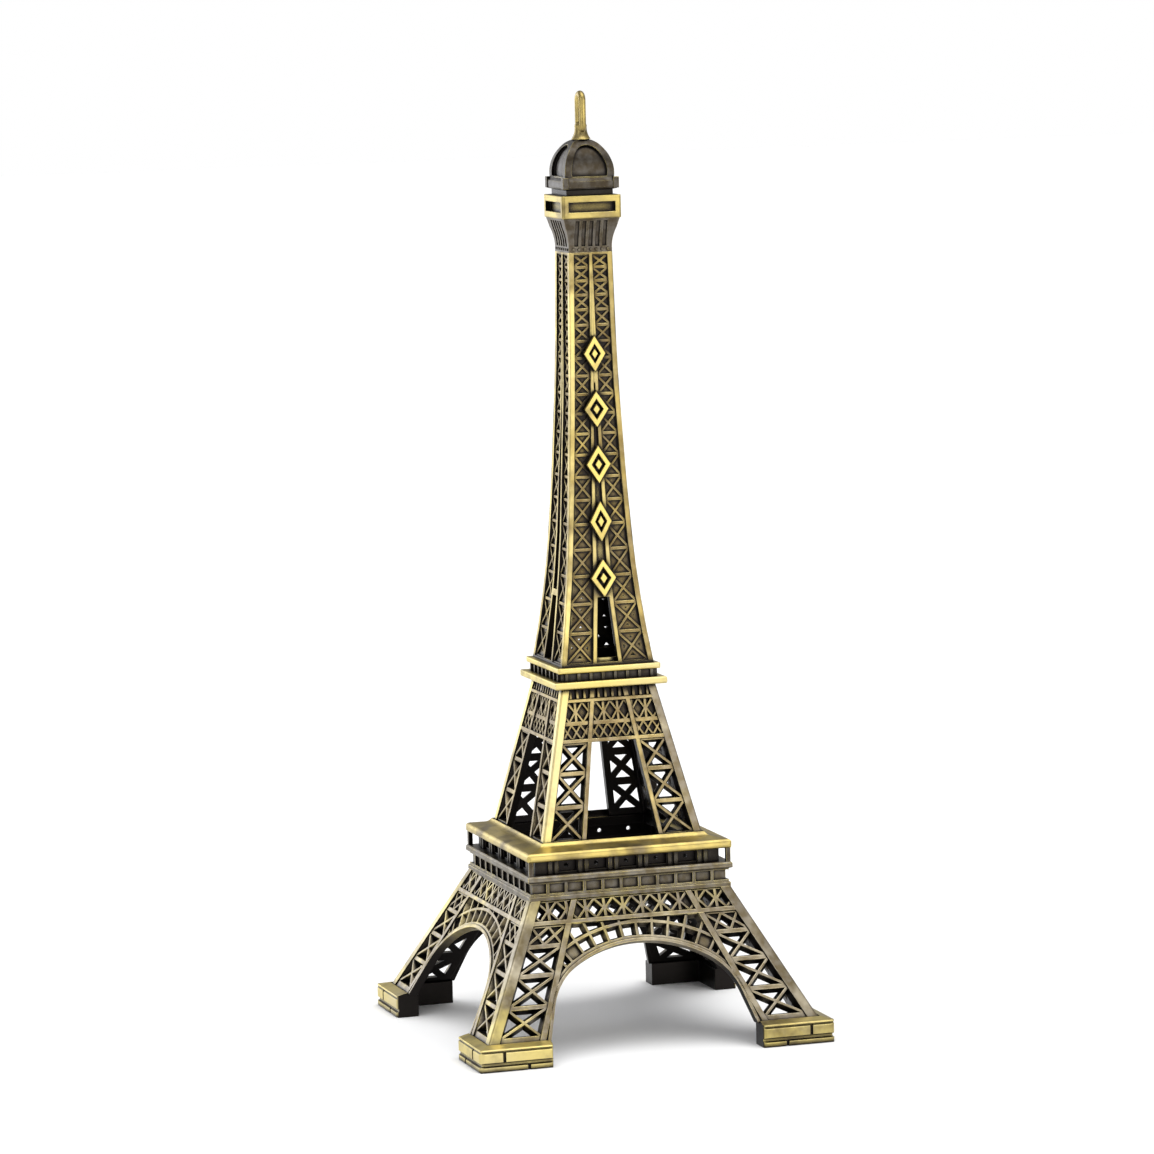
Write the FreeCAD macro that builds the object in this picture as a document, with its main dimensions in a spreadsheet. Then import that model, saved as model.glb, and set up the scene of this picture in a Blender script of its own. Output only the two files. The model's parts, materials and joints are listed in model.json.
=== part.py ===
import FreeCAD, Part
import math
import os

from FreeCAD import Placement, Rotation, Vector

# Souvenir model of a four-legged lattice tower, cast in sections and soldered.
# Own frame: +Z up, origin at the centre of the square that the four feet stand on.
# The front face looks towards -Y. Every face of the tower repeats by a quarter turn.
# Heights are above the feet; a "half" is a half width of a square section.

SIZES = {
    # four feet
    "foot_half": 29.34, "foot_length": 12.0, "foot_width": 3.74, "foot_top": 3.63, "foot_curb": 4.0,
    "foot_groove": 0.40, "foot_joint": 0.50, "foot_upper_joint": 4.0, "foot_lower_joint": 8.0,
    # first stage: splayed legs, arches and a girder band
    "leg_half_low": 27.40, "leg_half_high": 16.75, "leg_top": 23.90, "leg_wall": 1.30,
    "leg_post_width": 1.75, "leg_member": 0.95, "leg_member_low": 18.50, "leg_member_high": 9.40,
    "leg_level_1": 4.35, "leg_level_2": 8.75, "leg_level_3": 13.20, "leg_level_4": 17.35,
    "girder_bottom": 20.30, "girder_bar": 0.58, "girder_pitch": 3.10,
    "arch_rise": 15.05, "arch_crown_radius": 20.0, "arch_haunch_radius": 11.0,
    "arch_turn": 33.0, "arch_lean": 74.0, "arch_rim": 0.50, "arch_band": 1.0,
    "arch_ring_gap": 2.10, "arch_ring": 0.42, "strut_crown_step": 6.6, "strut_haunch_step": 11.6,
    # first platform
    "frieze_top": 27.85, "gallery_top": 30.07, "deck_seat": 31.47, "deck_half": 17.01,
    "platform_hollow": 14.0, "deck_hollow": 12.0, "gallery_half": 15.30, "frieze_step": 0.24,
    "frieze_pitch": 3.04, "frieze_sunk": 0.42, "frieze_panel_half": 1.28, "frieze_panel_low": 24.98,
    "frieze_panel_high": 26.55, "gallery_pitch": 4.97, "gallery_sunk": 0.80, "gallery_window_half": 1.50,
    "gallery_sill": 0.30, "gallery_light": 0.34, "pilaster_half": 0.30, "pilaster_shift": 0.52,
    "pilaster_relief": 0.40, "pillar_width": 0.70, "pillar_inset": 0.60,
    # second stage
    "upper_half_low": 13.46, "upper_half_high": 7.83, "upper_top": 55.96,
    "upper_wall": 1.15, "upper_post_width": 1.30, "upper_member": 0.65,
    "upper_member_low": 6.55, "upper_member_high": 2.62,
    "upper_level_1": 32.30, "upper_level_2": 37.60, "upper_level_3": 42.75,
    "upper_girder_bottom": 47.45, "upper_girder_bar": 0.50, "upper_bar_2": 50.20, "upper_bar_3": 53.70,
    "upper_bar": 0.45,
    # second platform
    "shelf_top": 57.09, "shelf_half": 9.33, "balcony_top": 58.35, "cap_top": 59.28,
    "cap_half": 8.59, "balcony_half": 7.95, "shelf_hollow": 5.50, "balcony_pitch": 2.03,
    "balcony_post_half": 0.22, "balcony_relief": 0.35, "register_gap": 0.35,
    # column
    "column_low": 7.68, "column_mid": 5.28, "column_high": 3.60, "column_mid_z": 80.0,
    "column_mid_slope": -0.068, "column_top": 124.60, "column_skin": 0.50, "column_lining": 0.60,
    "column_open_top": 79.0, "column_strip": 0.80, "column_rib": 0.30, "column_rim": 0.10,
    "column_light_rim": 0.62, "column_bays": 20, "column_ratio": 0.956,
    "slit_top": 70.0, "slit_rail": 0.62, "slit_half": 1.60, "slit_lean": 0.08,
    "groove_top": 104.0, "groove_tip": 0.12, "strip_tip": 0.24, "strip_power": 1.3,
    "rosette_relief": 0.75, "rosette_stroke": 0.64, "rosette_boss": 0.27,
    # head
    "neck_top": 130.01, "flute_pitch": 1.16, "flute_half": 0.36, "flute_depth": 0.28,
    "bead_pitch": 0.95, "bead_half": 0.17, "bead_relief": 0.28, "cabin_top": 133.64,
    "cabin_half": 4.91, "window_half": 3.90, "window_sill": 1.0, "window_head": 2.63,
    "window_depth": 0.85, "spigot_half": 2.90, "ledge_bottom": 134.50, "ledge_half": 4.52,
    "dome_top": 142.35, "dome_waist": 3.85, "dome_sunk": 0.55, "lug_width": 0.90, "lug_height": 1.75,
    "bore_depth": 2.20,
    "overall": 150.0, "loop_wire": 1.10, "loop_gauge": 2.10, "shank_radius": 0.80,
    # lattice bars, draft of the holes and fits
    "rib_width": 0.36, "bar_width": 0.46, "rim_width": 0.06, "relief": 0.20, "draft": 22.0,
    "pit_depth": 0.50, "pit_draft": 9.0, "clearance": 0.05,
}

FACES = ["front", "right", "back", "left"]
CORNERS = ["front_right", "back_right", "back_left", "front_left"]
SMALLEST_HOLE = 0.12
SHORTEST_SIDE = 0.04
BEYOND = 2.0

document = FreeCAD.newDocument("landmark_model")
sheet = document.addObject("Spreadsheet::Sheet", "sizes")
for row, (alias, number) in enumerate(SIZES.items(), start=1):
    sheet.set(f"A{row}", alias)
    sheet.set(f"B{row}", str(number))
    sheet.setAlias(f"B{row}", alias)
document.recompute()

size = {alias: float(sheet.get(alias)) for alias in SIZES}
nodes = []


# ---------------------------------------------------------------- plane geometry

def line_through(first, second, offset=0.0):
    """Line as point and unit direction, moved to the left of its direction by offset."""
    dx, dy = second[0] - first[0], second[1] - first[1]
    length = math.hypot(dx, dy)
    dx, dy = dx / length, dy / length
    return (first[0] - dy * offset, first[1] + dx * offset), (dx, dy)


def meet(first, second):
    (ax, ay), (ux, uy) = first
    (bx, by), (vx, vy) = second
    cross = ux * vy - uy * vx
    along = ((bx - ax) * vy - (by - ay) * vx) / cross
    return (ax + ux * along, ay + uy * along)


def midpoint(first, second):
    return tuple((a + b) / 2 for a, b in zip(first, second))


def sides(points):
    return list(zip(points, points[1:] + points[:1]))


def crossing(corners):
    return meet(line_through(corners[0], corners[2]), line_through(corners[1], corners[3]))


def mirrored(points):
    return [(-x, y) for x, y in reversed(points)]


def rectangle(x_low, x_high, y_low, y_high):
    return [(x_low, y_low), (x_high, y_low), (x_high, y_high), (x_low, y_high)]


def between(inner, outer, low, high):
    """Four-sided cell between two edges given as half widths at a height."""
    return [(inner(low), low), (outer(low), low), (outer(high), high), (inner(high), high)]


def inset(points, distances):
    """Move each side of an anticlockwise polygon inwards; empty if a side turns round."""
    lines = [line_through(*side, distance) for side, distance in zip(sides(points), distances)]
    moved = [meet(lines[i - 1], lines[i]) for i in range(len(lines))]
    for (start, end), (_, (dx, dy)) in zip(sides(moved), lines):
        if (end[0] - start[0]) * dx + (end[1] - start[1]) * dy < SHORTEST_SIDE:
            return []
    return moved


def clip(points, first, second):
    """Keep the part of a polygon that lies to the left of the line first to second."""
    (ox, oy), (dx, dy) = line_through(first, second)
    reach = [dx * (y - oy) - dy * (x - ox) for x, y in points]
    kept = []
    for i, (start, end) in enumerate(sides(points)):
        after = reach[(i + 1) % len(points)]
        if reach[i] >= 0:
            kept.append(start)
        if reach[i] * after < 0:
            share = reach[i] / (reach[i] - after)
            kept.append(tuple(a + (b - a) * share for a, b in zip(start, end)))
    return kept


def within(holes, frame):
    """The parts of convex holes that lie inside a convex anticlockwise frame."""
    for first, second in sides(frame):
        holes = [clip(hole, first, second) for hole in holes]
    return holes


def clear_of_member(holes, low, high, width):
    """Cut the holes back from a straight member that crosses them."""
    result = []
    for first, second in ((low, high), (high, low)):
        start, (dx, dy) = line_through(first, second, width / 2)
        result += [clip(hole, start, (start[0] + dx, start[1] + dy)) for hole in holes]
    return result


def area(points):
    return sum(a[0] * b[1] - b[0] * a[1] for a, b in sides(points)) / 2


def tidy(points, shrink):
    """Merge short sides until a hole can narrow by shrink all round; empty if it is too small."""
    while len(points) >= 3 and area(points) > SMALLEST_HOLE:
        spans = [math.dist(*side) for side in sides(points)]
        shortest = spans.index(min(spans))
        if spans[shortest] > SHORTEST_SIDE and inset(points, [shrink] * len(points)):
            return points
        following = (shortest + 1) % len(points)
        middle = midpoint(points[shortest], points[following])
        points = [middle if i == shortest else p for i, p in enumerate(points) if i != following]
    return []


# ---------------------------------------------------------------- lattice cells

def cross_cell(corners, rib, rim):
    """Four triangular holes that leave two diagonals and a rim in a four-sided cell."""
    centre = crossing(corners)
    return [inset([a, b, centre], [rim, rib / 2, rib / 2]) for a, b in sides(corners)]


def double_cross_cell(corners, rib, rim):
    """Two crosses side by side with a shared diamond hole between them."""
    low_left, low_right, high_right, high_left = corners
    low_middle, high_middle = midpoint(low_left, low_right), midpoint(high_left, high_right)
    left = [low_left, low_middle, high_middle, high_left]
    right = [low_middle, low_right, high_right, high_middle]
    shared = inset([crossing(left), low_middle, crossing(right), high_middle], [rib / 2] * 4)
    left_holes, right_holes = cross_cell(left, rib, rim), cross_cell(right, rib, rim)
    return [left_holes[0], left_holes[2], left_holes[3]] + right_holes[:3] + [shared]


def running_cross_cell(corners, rib, rim):
    """One cross of an endless row: its lower and upper holes and the diamond to its right."""
    low_hole, _, high_hole, _ = cross_cell(corners, rib, rim)
    centre = crossing(corners)
    following = (centre[0] + corners[1][0] - corners[0][0], centre[1])
    diamond = inset([centre, corners[1], following, corners[2]], [rib / 2] * 4)
    return [low_hole, high_hole, diamond]


def lozenge_cell(corners, rib, rim):
    """A diamond hole and four corner holes, parted by bars between the sides' midpoints."""
    middles = [midpoint(a, b) for a, b in sides(corners)]
    holes = [inset(middles, [rib / 2] * 4)]
    for i, corner in enumerate(corners):
        holes.append(inset([corner, middles[i], middles[i - 1]], [rim, rib / 2, rim]))
    return holes


def open_cell(corners, rib, rim):
    return [inset(corners, [rim, rib / 2, rim, rib / 2])]


# ---------------------------------------------------------------- FreeCAD helpers

# An outline is a list of items: a point, or an arc as (middle point, end point).

def is_arc(item):
    return isinstance(item[0], tuple)


def end_of(item):
    return item[1] if is_arc(item) else item


def flip(points, side):
    """The outline with its first coordinate times side."""
    flipped = []
    for item in points:
        if is_arc(item):
            flipped.append(tuple((side * x, y) for x, y in item))
        else:
            flipped.append((side * item[0], item[1]))
    return flipped


def curve(width, marks):
    """Arcs through a smooth function width(z), one from each mark to the next."""
    items = [(width(marks[0]), marks[0])]
    for low, high in zip(marks, marks[1:]):
        middle = (low + high) / 2
        items.append(((width(middle), middle), (width(high), high)))
    return items


def new_body(label):
    body = document.addObject("PartDesign::Body", label)
    body.Label = label
    return body


def new_sketch(body, name, plane="XY_Plane", height=None):
    sketch = body.newObject("Sketcher::SketchObject", f"{body.Label}_{name}")
    support = next(item for item in body.Origin.OriginFeatures if item.Role == plane)
    sketch.AttachmentSupport = [(support, "")]
    sketch.MapMode = "FlatFace"
    if height is not None:
        sketch.setExpression("AttachmentOffset.Base.z", height)
    return sketch


def draw(sketch, points):
    """Add a closed outline; its first item starts where its last item ends."""
    edges = []
    start = end_of(points[-1])
    for item in points:
        end = end_of(item)
        if is_arc(item):
            edges.append(Part.Arc(Vector(*start), Vector(*item[0]), Vector(*end)))
        else:
            edges.append(Part.LineSegment(Vector(*start), Vector(*end)))
        start = end
    sketch.addGeometry(edges, False)


def pad(body, sketch, length, side="One side", reverse=False):
    feature = body.newObject("PartDesign::Pad", f"{sketch.Name}_pad")
    feature.Profile = sketch
    feature.setExpression("Length", length)
    feature.SideType = side
    feature.Reversed = reverse
    return feature


def pocket(body, sketch, length=None, side="One side", reverse=False, draft=None):
    feature = body.newObject("PartDesign::Pocket", f"{sketch.Name}_pocket")
    feature.Profile = sketch
    feature.SideType = side
    feature.Reversed = reverse
    if length is None:
        feature.Type = "ThroughAll"
    else:
        feature.setExpression("Length", length)
    if draft:
        feature.setExpression("TaperAngle", draft)
    return feature


def quarter_turns(body, feature):
    """Repeat a feature of the front face on the other three faces."""
    document.recompute()
    pattern = body.newObject("PartDesign::PolarPattern", f"{feature.Name}_turned")
    pattern.Originals = [feature]
    axis = next(item for item in body.Origin.OriginFeatures if item.Role == "Z_Axis")
    pattern.Axis = (axis, [""])
    pattern.Angle = 360
    pattern.Occurrences = 4
    body.Tip = pattern


def outer_region(profile, side):
    """What lies outside a moulding profile of (half width, height) points, on one side."""
    reach = max(end_of(item)[0] for item in profile) + BEYOND
    first, last = end_of(profile[0]), end_of(profile[-1])
    around = [(last[0], last[1] + 1), (reach, last[1] + 1), (reach, first[1] - 1), (first[0], first[1] - 1)]
    return flip(around + list(profile), side)


def square_body(label, profile, hollow=None):
    """Piece whose level sections are squares: its half width follows the profile."""
    body = new_body(label)
    front = new_sketch(body, "front", "XZ_Plane")
    reach = max(end_of(item)[0] for item in profile) + 1
    draw(front, rectangle(-reach, reach, end_of(profile[0])[1], end_of(profile[-1])[1]))
    pad(body, front, f"{2 * reach}", side="Symmetric")
    for name, plane in (("across", "XZ_Plane"), ("along", "YZ_Plane")):
        trim = new_sketch(body, name, plane)
        for side in (1, -1):
            draw(trim, outer_region(profile, side))
        pocket(body, trim, side="Symmetric")
    if hollow:
        inside = new_sketch(body, "inside")
        half = size[hollow]
        draw(inside, rectangle(-half, half, -half, half))
        pocket(body, inside, side="Symmetric")
    return body


def round_corners(body, half, radius):
    """Round the four upright corners of a square piece of this half width."""
    corners = new_sketch(body, "corners")
    inner, outer = half - radius, half + BEYOND
    waist = half - radius * (1 - math.sqrt(0.5))
    for x_side in (1, -1):
        for y_side in (1, -1):
            region = [(inner, half * y_side), ((waist, waist * y_side), (half, inner * y_side)),
                      (outer, inner * y_side), (outer, outer * y_side), (inner, outer * y_side)]
            draw(corners, flip(region, x_side))
    pocket(body, corners, side="Symmetric")


def turned(body, quarter):
    body.Placement = Placement(Vector(), Rotation(Vector(0, 0, 1), 90 * quarter))


def finish(item):
    nodes.append(item)


# ---------------------------------------------------------------- sloping faces

class Slope:
    """One flat sloping face of a stage, from its low edge to its high edge."""

    def __init__(self, stage, low, half_low, high, half_high):
        self.stage = stage
        self.low_name, self.high_name = low, high
        self.low, self.half_low = size[low], size[half_low]
        self.high, self.half_high = size[high], size[half_high]
        self.run = self.half_low - self.half_high
        self.tilt = math.atan2(self.run, self.high - self.low)

    def share(self, z):
        return (z - self.low) / (self.high - self.low)

    def half(self, z):
        return self.half_low - self.run * self.share(z)

    def member(self, z):
        """Centre of the leg's inner member."""
        low, high = size[f"{self.stage}_member_low"], size[f"{self.stage}_member_high"]
        return low + (high - low) * self.share(z)

    def free_side(self, z):
        return self.member(z) - size[f"{self.stage}_member"] / 2

    def inner(self, z):
        return self.member(z) + size[f"{self.stage}_member"] / 2

    def outer(self, z):
        """Where the lattice ends against the corner post."""
        return self.half(z) - size[f"{self.stage}_post_width"]

    def up(self, z):
        return (z - self.low) / math.cos(self.tilt)

    def flat(self, points):
        """Points given as (x, height) in the plane of the face."""
        return [(x, self.up(z)) for x, z in points]

    def across(self, width, low, high):
        """The whole face between two heights, as far as the half width given by a function."""
        return self.flat([(-width(low), low), (width(low), low), (width(high), high), (-width(high), high)])

    def place(self, body, quarter):
        """Plates lie a little behind the posts' faces."""
        sunk = self.half_low - size["relief"] / math.cos(self.tilt)
        lean = Rotation(Vector(1, 0, 0), 90 - math.degrees(self.tilt))
        turn = Rotation(Vector(0, 0, 1), 90 * quarter)
        body.Placement = Placement(turn.multVec(Vector(0, -sunk, self.low)), turn * lean)


def through_and_blind(holes, wall, see_through):
    """Part the holes that keep their draft right through the wall from those that can't."""
    through_shrink = wall * math.tan(math.radians(size["draft"])) + SHORTEST_SIDE
    pit_shrink = size["pit_depth"] * math.tan(math.radians(size["pit_draft"])) + SHORTEST_SIDE
    through, blind = [], []
    for hole in holes:
        outline = tidy(hole, pit_shrink)
        if outline and see_through and inset(outline, [through_shrink] * len(outline)):
            through.append(outline)
        elif outline:
            blind.append(outline)
    return through, blind


def plate(label, slope, quarter, outline, holes, raised, foot=False, see_through=True):
    """Lattice plate in a sloping face: drafted holes, blind where small, and raised members."""
    body = new_body(label)
    blank = new_sketch(body, "outline")
    draw(blank, outline)
    wall = size[f"{slope.stage}_wall"] - size["relief"]
    pad(body, blank, f"sizes.{slope.stage}_wall - sizes.relief", reverse=True)
    through, blind = through_and_blind(holes, wall, see_through)
    for name, group, depth, draft in (
            ("holes", through, f"sizes.{slope.stage}_wall - sizes.relief + sizes.clearance", "-sizes.draft"),
            ("pits", blind, "sizes.pit_depth", "-sizes.pit_draft")):
        if group:
            cells = new_sketch(body, name)
            for hole in group:
                draw(cells, hole)
            pocket(body, cells, depth, draft=draft)
    members = new_sketch(body, "members")
    for shape in raised:
        draw(members, shape)
    pad(body, members, "sizes.relief")
    if foot:
        seat = new_sketch(body, "seat", "YZ_Plane")
        depth = wall + BEYOND
        draw(seat, [(0, 0), (-0.5, 0), (-0.5, -depth), (depth * math.tan(slope.tilt), -depth)])
        pocket(body, seat, side="Symmetric")
    slope.place(body, quarter)
    finish(body)


def corner_post(label, slope, quarter, rounding):
    """Angle section that runs up the corner of a stage; it leans equally to both sides."""
    body = new_body(label)
    section = new_sketch(body, "section", height=f"sizes.{slope.low_name}")
    outer = slope.half_low
    arm = outer - size[f"{slope.stage}_post_width"]
    inner = outer - size[f"{slope.stage}_wall"] / math.cos(slope.tilt)
    near, waist = outer - rounding, outer - rounding * (1 - math.sqrt(0.5))
    draw(section, [(near, -outer), ((waist, -waist), (outer, -near)), (outer, -arm), (inner, -arm),
                   (inner, -inner), (arm, -inner), (arm, -outer)])
    shaft = pad(body, section, f"sizes.{slope.high_name} - sizes.{slope.low_name}")
    shaft.UseCustomVector = True
    shaft.Direction = Vector(-slope.run, slope.run, slope.high - slope.low)
    shaft.AlongSketchNormal = True
    turned(body, quarter)
    finish(body)


def leg_side(slope, quarter, side, levels, top_level, top_cell, name):
    """Crossed panels of one side of a leg, between its inner member and the corner post."""
    bar, rib, rim = size["bar_width"], size["rib_width"], size["rim_width"]
    outline = slope.flat(between(slope.free_side, slope.outer, slope.low, top_level))
    raised = slope.flat(between(slope.free_side, slope.inner, slope.low, top_level))
    holes = []
    cells = [cross_cell] * (len(levels) - 1) + [top_cell]
    for cell, low, high in zip(cells, levels, levels[1:] + [top_level]):
        corners = slope.flat(between(slope.inner, slope.outer, low + bar / 2, high - bar / 2))
        holes += cell(corners, rib, rim)
    if side < 0:
        outline, raised = mirrored(outline), mirrored(raised)
        holes = [mirrored(hole) for hole in holes]
    hand = "right" if side > 0 else "left"
    plate(f"{FACES[quarter]}_{name}_{hand}", slope, quarter, outline, holes, [raised], foot=True)


# ---------------------------------------------------------------- first stage

LOWER = Slope("leg", "foot_top", "leg_half_low", "leg_top", "leg_half_high")


def foot_plinth(quarter):
    """L-shaped two-course plinth under one leg, with a curb that the leg stands behind."""
    half, curb, sunk = size["foot_half"], size["foot_curb"], size["foot_groove"]
    curb_half = LOWER.half_low + size["clearance"]
    near, inner = half - size["foot_length"], half - size["foot_width"]
    body = new_body(f"foot_plinth_{CORNERS[quarter]}")
    plan = new_sketch(body, "plan")
    corner, end = 0.8, 0.5
    corner_waist, end_waist = corner * (1 - math.sqrt(0.5)), end * (1 - math.sqrt(0.5))
    draw(plan, [
        (half - corner, -half), ((half - corner_waist, -half + corner_waist), (half, -half + corner)),
        (half, -near - end), ((half - end_waist, -near - end_waist), (half - end, -near)),
        (inner, -near), (inner, -inner), (near, -inner), (near, -half + end),
        ((near + end_waist, -half + end_waist), (near + end, -half))])
    pad(body, plan, "sizes.foot_curb")
    seat = new_sketch(body, "seat", height="sizes.foot_curb")
    draw(seat, [(near - 1, -curb_half), (curb_half, -curb_half), (curb_half, -near + 1),
                (0, -near + 1), (0, 0), (near - 1, 0)])
    pocket(body, seat, "sizes.foot_curb - sizes.foot_top")
    moulding = [(half - 0.18, 0), (half, 0.18), (half, 0.78), (half - sunk, 0.98), (half - sunk, 1.36),
                (half, 1.56), (half, 2.94), (half - 0.26, 3.14), (half - 0.26, 3.26), (half - 0.06, 3.36),
                (half - 0.12, 3.58), (curb_half + 0.15, curb)]
    for name, plane, side in (("across", "XZ_Plane", 1), ("along", "YZ_Plane", -1)):
        trim = new_sketch(body, name, plane)
        draw(trim, outer_region(moulding, side))
        pocket(body, trim, side="Symmetric")
    gap = size["foot_joint"] / 2
    for course, level, drop in (("upper", "3.14", "1.60"), ("lower", "0.9", "0.9")):
        joint = new_sketch(body, f"{course}_joint", height=level)
        place = size[f"foot_{course}_joint"]
        draw(joint, rectangle(half - place - gap, half - place + gap, -half - 1, -half + sunk))
        draw(joint, rectangle(half - sunk, half + 1, -half + place - gap, -half + place + gap))
        pocket(body, joint, drop)
    turned(body, quarter)
    finish(body)


def leg_lattice(quarter, side):
    """Three crossed panels and a double-crossed one, with the leg's inner member."""
    levels = [size[f"leg_level_{number}"] for number in (1, 2, 3, 4)]
    leg_side(LOWER, quarter, side, levels, size["girder_bottom"], double_cross_cell, "leg_lattice")


class ArchLine:
    """Basket arch drawn outside the intrados by offset: a crown arc, two haunch arcs, straight feet."""

    def __init__(self, offset):
        crown, haunch = size["arch_crown_radius"], size["arch_haunch_radius"]
        self.turn, self.lean = math.radians(size["arch_turn"]), math.radians(size["arch_lean"])
        self.crown_reach, self.haunch_reach = crown + offset, haunch + offset
        self.crown_height = size["arch_rise"] - crown
        self.haunch_centre = ((crown - haunch) * math.sin(self.turn),
                              self.crown_height + (crown - haunch) * math.cos(self.turn))
        knee = self.on_haunch(self.lean)
        self.foot = (knee[0] + knee[1] / math.tan(self.lean), 0)

    def on_crown(self, angle):
        return self.crown_reach * math.sin(angle), self.crown_height + self.crown_reach * math.cos(angle)

    def on_haunch(self, angle):
        x, y = self.haunch_centre
        return x + self.haunch_reach * math.sin(angle), y + self.haunch_reach * math.cos(angle)

    def over(self, side):
        """The line from one foot over the crown to the other; side 1 starts at the left foot."""
        knee, spring = self.on_haunch(self.lean), self.on_crown(self.turn)
        bend = self.on_haunch((self.turn + self.lean) / 2)
        left = flip([self.foot, knee, (bend, spring)], -1)
        return flip(left + [(self.on_crown(0), spring), (bend, knee), self.foot], side)

    def strut_ends(self):
        """Where the radial struts meet the line, from the crown down."""
        crown_step, haunch_step = (math.radians(size[f"strut_{part}_step"]) for part in ("crown", "haunch"))
        points = [self.on_crown(crown_step * step) for step in range(6)]
        angle = self.turn + haunch_step * 0.55
        while angle < self.lean:
            points.append(self.on_haunch(angle))
            angle += haunch_step
        return points


def arch(quarter):
    """Arch band, open ring of struts and spandrel, between the two legs of one face."""
    slope, rib = LOWER, size["rib_width"]
    low, high = slope.low, size["girder_bottom"]
    edge_low, edge_high = slope.flat([(slope.free_side(low), low), (slope.free_side(high), high)])
    left_low, left_high = (-edge_low[0], edge_low[1]), (-edge_high[0], edge_high[1])
    intrados, rim = ArchLine(0), ArchLine(size["arch_rim"])
    outline = [edge_low, edge_high, left_high, left_low] + intrados.over(1)
    raised = intrados.over(1) + rim.over(-1)
    ring_low = size["arch_band"] + size["arch_ring_gap"]
    rings = [ArchLine(reach).strut_ends() for reach in
             (size["arch_band"], ring_low, ring_low + size["arch_ring"], size["arch_band"] + high)]
    holes = []
    for near, far in (rings[:2], rings[2:]):
        for step in range(len(near) - 1):
            cell = [near[step + 1], far[step + 1], far[step], near[step]]
            hole = inset(cell, [rib / 2, 0, rib / 2, 0])
            holes += [hole, mirrored(hole)]
    holes = within(holes, [left_low, edge_low, edge_high, left_high])
    plate(f"{FACES[quarter]}_arch", slope, quarter, outline, holes, [raised], foot=True)


def girder(quarter):
    """Lozenge girder over the arch: uprights with a crossing on each, and the legs' members."""
    slope, pitch, rib = LOWER, size["girder_pitch"], size["rib_width"] * 0.85
    bottom, top = size["girder_bottom"], slope.high
    low, high = bottom + size["girder_bar"], top - size["bar_width"] / 2
    holes = []
    reach = int(slope.outer(low) / pitch) + 1
    for bay in range(-reach, reach + 1):
        left, right = (bay - 0.5) * pitch + rib / 2, (bay + 0.5) * pitch - rib / 2
        corners = slope.flat(rectangle(left, right, low, high))
        holes += lozenge_cell(corners, rib, size["rim_width"])
    holes = within(holes, slope.across(slope.outer, low, high))
    raised = [slope.across(slope.outer, bottom, low)]
    for side in (1, -1):
        ends = slope.flat([(side * slope.member(z), z) for z in (bottom, top)])
        holes = clear_of_member(holes, *ends, size["leg_member"] + size["rim_width"])
        raised.append(flip(slope.flat(between(slope.free_side, slope.inner, low, high)), side))
    outline = slope.across(slope.outer, bottom, top)
    plate(f"{FACES[quarter]}_girder", slope, quarter, outline, holes, raised)


# ---------------------------------------------------------------- first platform

def frieze_ring():
    """Square ring with a row of sunk panels under a ledge."""
    half, top = size["leg_half_high"], size["frieze_top"]
    field = half - size["frieze_step"]
    profile = [(half, size["leg_top"]), (half, 24.50), (half - 0.12, 24.62), (field, 24.70), (field, 26.72),
               (half + 0.18, 26.92), ((half + 0.27, 27.05), (half + 0.25, 27.20)), (half + 0.25, 27.62),
               (half + 0.05, top)]
    body = square_body("frieze_ring", profile, "platform_hollow")
    panels = new_sketch(body, "panels", "XZ_Plane", height=f"{field} - sizes.frieze_sunk")
    reach = size["frieze_panel_half"]
    for bay in range(-5, 6):
        centre = bay * size["frieze_pitch"]
        draw(panels, rectangle(centre - reach, centre + reach, size["frieze_panel_low"],
                               size["frieze_panel_high"]))
    quarter_turns(body, pocket(body, panels, "sizes.frieze_sunk + 0.5", reverse=True))
    finish(body)


def gallery_ring():
    """Set-back wall of the first platform: sunk windows between paired pilasters."""
    half, pitch = size["gallery_half"], size["gallery_pitch"]
    low, top = size["frieze_top"], size["gallery_top"]
    body = square_body("gallery_ring", [(half, low), (half, top)], "platform_hollow")
    windows = new_sketch(body, "windows", "XZ_Plane", height="sizes.gallery_half - sizes.gallery_sunk")
    lights = new_sketch(body, "lights", "XZ_Plane", height="sizes.platform_hollow - sizes.gallery_sunk")
    reach, sill = size["gallery_window_half"], size["gallery_sill"]
    for bay in range(-2, 3):
        middle = Vector(bay * pitch, (low + top) / 2, 0)
        draw(windows, rectangle(middle.x - reach, middle.x + reach, low + sill, top - sill))
        lights.addGeometry(Part.Circle(middle, Vector(0, 0, 1), size["gallery_light"]))
    quarter_turns(body, pocket(body, windows, "2 * sizes.gallery_sunk", reverse=True))
    quarter_turns(body, pocket(body, lights, "3 * sizes.gallery_sunk", reverse=True))
    pilasters = new_sketch(body, "pilasters", "XZ_Plane", height="sizes.gallery_half")
    reach, shift = size["pilaster_half"], size["pilaster_shift"]
    for bay in range(-3, 3):
        for side in (-1, 1):
            centre = (bay + 0.5) * pitch + side * shift
            draw(pilasters, rectangle(centre - reach, centre + reach, low, top))
    quarter_turns(body, pad(body, pilasters, "sizes.pilaster_relief"))
    finish(body)


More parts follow.
